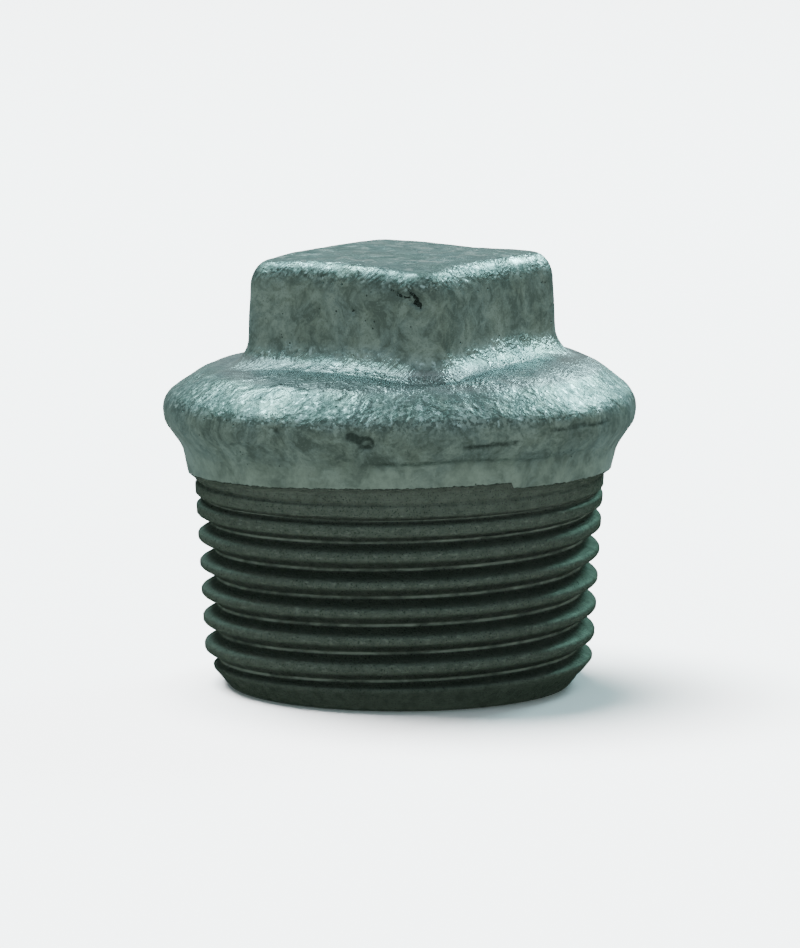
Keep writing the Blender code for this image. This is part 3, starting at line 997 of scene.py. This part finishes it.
def cracks_and_pit_shade(g, place):
    """How much painted shade each point gets, black in the cracks and dark in the bead's pits and creases,
    with ragged edges round the strokes in the mesh.
    """
    ragged = g.math("MULTIPLY_ADD", g.grain(place, RAGGED_SIZE, 4.0, 0.6), 0.7, -0.35)
    shaded_crack = g.ramp(g.math("ADD", g.attribute("crack_gap"), ragged), -0.04, 0.05, 0.9, 0.0)
    pit_shade = g.math("MULTIPLY_ADD", ragged, 0.5, g.attribute("pit_shade_gap"))
    pit_shade = g.ramp(pit_shade, -0.16, 0.16, 1.0, 0.0)
    uneven = g.ramp(g.grain(place, PIT_SHADE_PATCH_SIZE, 3.0), 0.30, 0.60, 0.65, 0.95)
    return shaded_crack, g.math("MULTIPLY", pit_shade, uneven)


def casting_material():
    """Galvanised iron above the ragged edge of the zinc and in the hollow, and cut metal below it."""
    g = Graph("galvanised_casting")
    place = g.place()
    zinc = zinc_patterns(g, place)
    cut = cut_patterns(g, place)
    shaded_crack, pit_shade = cracks_and_pit_shade(g, place)
    jagged = g.math("MULTIPLY_ADD", g.grain(place, JAG_SIZE, 5.0, 0.7), 0.45, -0.275)
    edge = g.math("ADD", g.attribute("above_cut"), jagged)
    coated = g.math("MAXIMUM", g.ramp(edge, -0.015, 0.015), g.attribute("hollow"))
    # Painted shade: a thin dark line just under the zinc's edge, in the crevice of the step.
    edge_crevice_shade = g.math("MULTIPLY", g.ramp(edge, -0.12, -0.04), g.ramp(edge, -0.02, 0.03, 1.0, 0.0))
    colour = g.colour(coated, cut_colour(g, place, cut), zinc_colour(g, place, zinc))
    # Painted shade: the bead's pits and creases are darkened.
    colour = g.colour(pit_shade, colour, PIT_SHADE_COLOUR)
    colour = g.colour(g.math("MULTIPLY", edge_crevice_shade, 0.6), colour, BLACK_SHADE_AND_SPECKS)
    # Painted shade: the cracks are black.
    colour = g.colour(shaded_crack, colour, BLACK_SHADE_AND_SPECKS)
    cut_roughness = g.ramp(cut.mottled, 0.3, 0.7, 0.68, 0.50)
    height = g.number(coated, cut_height(g, cut), zinc_height(g, place, zinc))
    height = g.math("MULTIPLY_ADD", shaded_crack, -0.5, height)
    bump = g.node("ShaderNodeBump", {"Height": height, "Distance": BUMP_HEIGHT, "Strength": 1.0})
    for socket, value in (
        ("Base Color", colour),
        ("Specular Tint", g.colour(coated, CUT_EDGE, zinc_edge_tint(g, zinc))),
        ("Roughness", g.number(coated, cut_roughness, zinc_roughness(g, zinc))),
        ("Metallic", g.number(coated, CUT_METALLIC, 1.0)),
        ("Normal", bump.outputs["Normal"]),
    ):
        g.feed(g.shader.inputs[socket], value)
    return g.material


def floor_paint():
    material = bpy.data.materials.new("floor_paint")
    material.use_nodes = True
    shader = material.node_tree.nodes["Principled BSDF"]
    shader.inputs["Base Color"].default_value = (*FLOOR_COLOUR, 1.0)
    shader.inputs["Metallic"].default_value = 0.0
    shader.inputs["Roughness"].default_value = FLOOR_ROUGHNESS
    return material


def make_floor():
    """A wide pale disc, which the metal doesn't mirror and which casts no shadow."""
    mesh = bpy.data.meshes.new("floor")
    disc = bmesh.new()
    bmesh.ops.create_circle(disc, cap_ends=True, radius=FLOOR_RADIUS, segments=96)
    disc.to_mesh(mesh)
    disc.free()
    floor = bpy.data.objects.new("floor", mesh)
    bpy.context.scene.collection.objects.link(floor)
    floor.data.materials.append(floor_paint())
    floor.visible_glossy = False
    floor.visible_shadow = False


def add_light(kind, name, place, power, colour=(1.0, 1.0, 1.0)):
    """A light that faces the plug."""
    light = bpy.data.lights.new(name, kind)
    light.energy = power
    light.color = colour
    lamp = bpy.data.objects.new(name, light)
    bpy.context.scene.collection.objects.link(lamp)
    along, towards, height = place
    lamp.location = SIDEWAYS * along + TOWARDS_CAMERA * towards + Vector((0.0, 0.0, height))
    aim = Vector((0.0, 0.0, AIM_HEIGHT)) - lamp.location
    lamp.rotation_euler = aim.to_track_quat("-Z", "Y").to_euler()
    lamp.visible_camera = False
    return lamp


def make_lights():
    """Two softboxes for the glints on the metal, and a soft sun that the metal doesn't mirror."""
    for name, place, power in SOFTBOXES:
        softbox = add_light("AREA", name, place, power, SOFTBOX_COLOUR)
        softbox.data.shape = "SQUARE"
        softbox.data.size = SOFTBOX_SIZE
    sun = add_light("SUN", "soft_sun", SUN_PLACE, SUN_STRENGTH)
    sun.data.angle = SUN_ANGLE
    sun.visible_glossy = False
    bpy.context.scene.world = studio_world()


def studio_world():
    """Pale where the camera sees it, and dimmer as the metal's surroundings, which are cool above."""
    world = bpy.data.worlds.new("studio")
    world.use_nodes = True
    tree = world.node_tree
    dim = tree.nodes["Background"]
    seen = tree.nodes.new("ShaderNodeBackground")
    seen.inputs["Strength"].default_value = SEEN_STRENGTH
    direction = tree.nodes.new("ShaderNodeTexCoord")
    split = tree.nodes.new("ShaderNodeSeparateXYZ")
    tree.links.new(direction.outputs["Generated"], split.inputs[0])
    sky = tree.nodes.new("ShaderNodeMix")
    sky.data_type = "RGBA"
    sky.inputs[6].default_value = (*HORIZON_COLOUR, 1.0)
    sky.inputs[7].default_value = (*SKY_COLOUR, 1.0)
    tree.links.new(split.outputs["Z"], sky.inputs[0])
    tree.links.new(sky.outputs[2], dim.inputs["Color"])
    dim.inputs["Strength"].default_value = SURROUND_STRENGTH
    path = tree.nodes.new("ShaderNodeLightPath")
    mix = tree.nodes.new("ShaderNodeMixShader")
    tree.links.new(path.outputs["Is Camera Ray"], mix.inputs[0])
    tree.links.new(dim.outputs[0], mix.inputs[1])
    tree.links.new(seen.outputs[0], mix.inputs[2])
    tree.links.new(mix.outputs[0], tree.nodes["World Output"].inputs["Surface"])
    return world


def make_camera():
    """The camera at the photo's angle, aimed at the middle of the plug."""
    data = bpy.data.cameras.new("camera")
    data.lens = LENS
    data.sensor_width = SENSOR
    camera = bpy.data.objects.new("camera", data)
    bpy.context.scene.collection.objects.link(camera)
    aim = Vector((0.0, 0.0, AIM_HEIGHT)) + SIDEWAYS * AIM_SIDEWAYS
    direction = TOWARDS_CAMERA * math.cos(VIEW_ELEVATION)
    direction.z = math.sin(VIEW_ELEVATION)
    camera.location = aim + direction * VIEW_DISTANCE
    camera.rotation_euler = (-direction).to_track_quat("-Z", "Y").to_euler()
    bpy.context.scene.camera = camera


def main():
    make_camera()
    casting = make_casting()
    casting.data.materials.append(casting_material())
    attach(casting, "root")
    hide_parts(NODE)
    make_floor()
    make_lights()
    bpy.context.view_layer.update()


main()
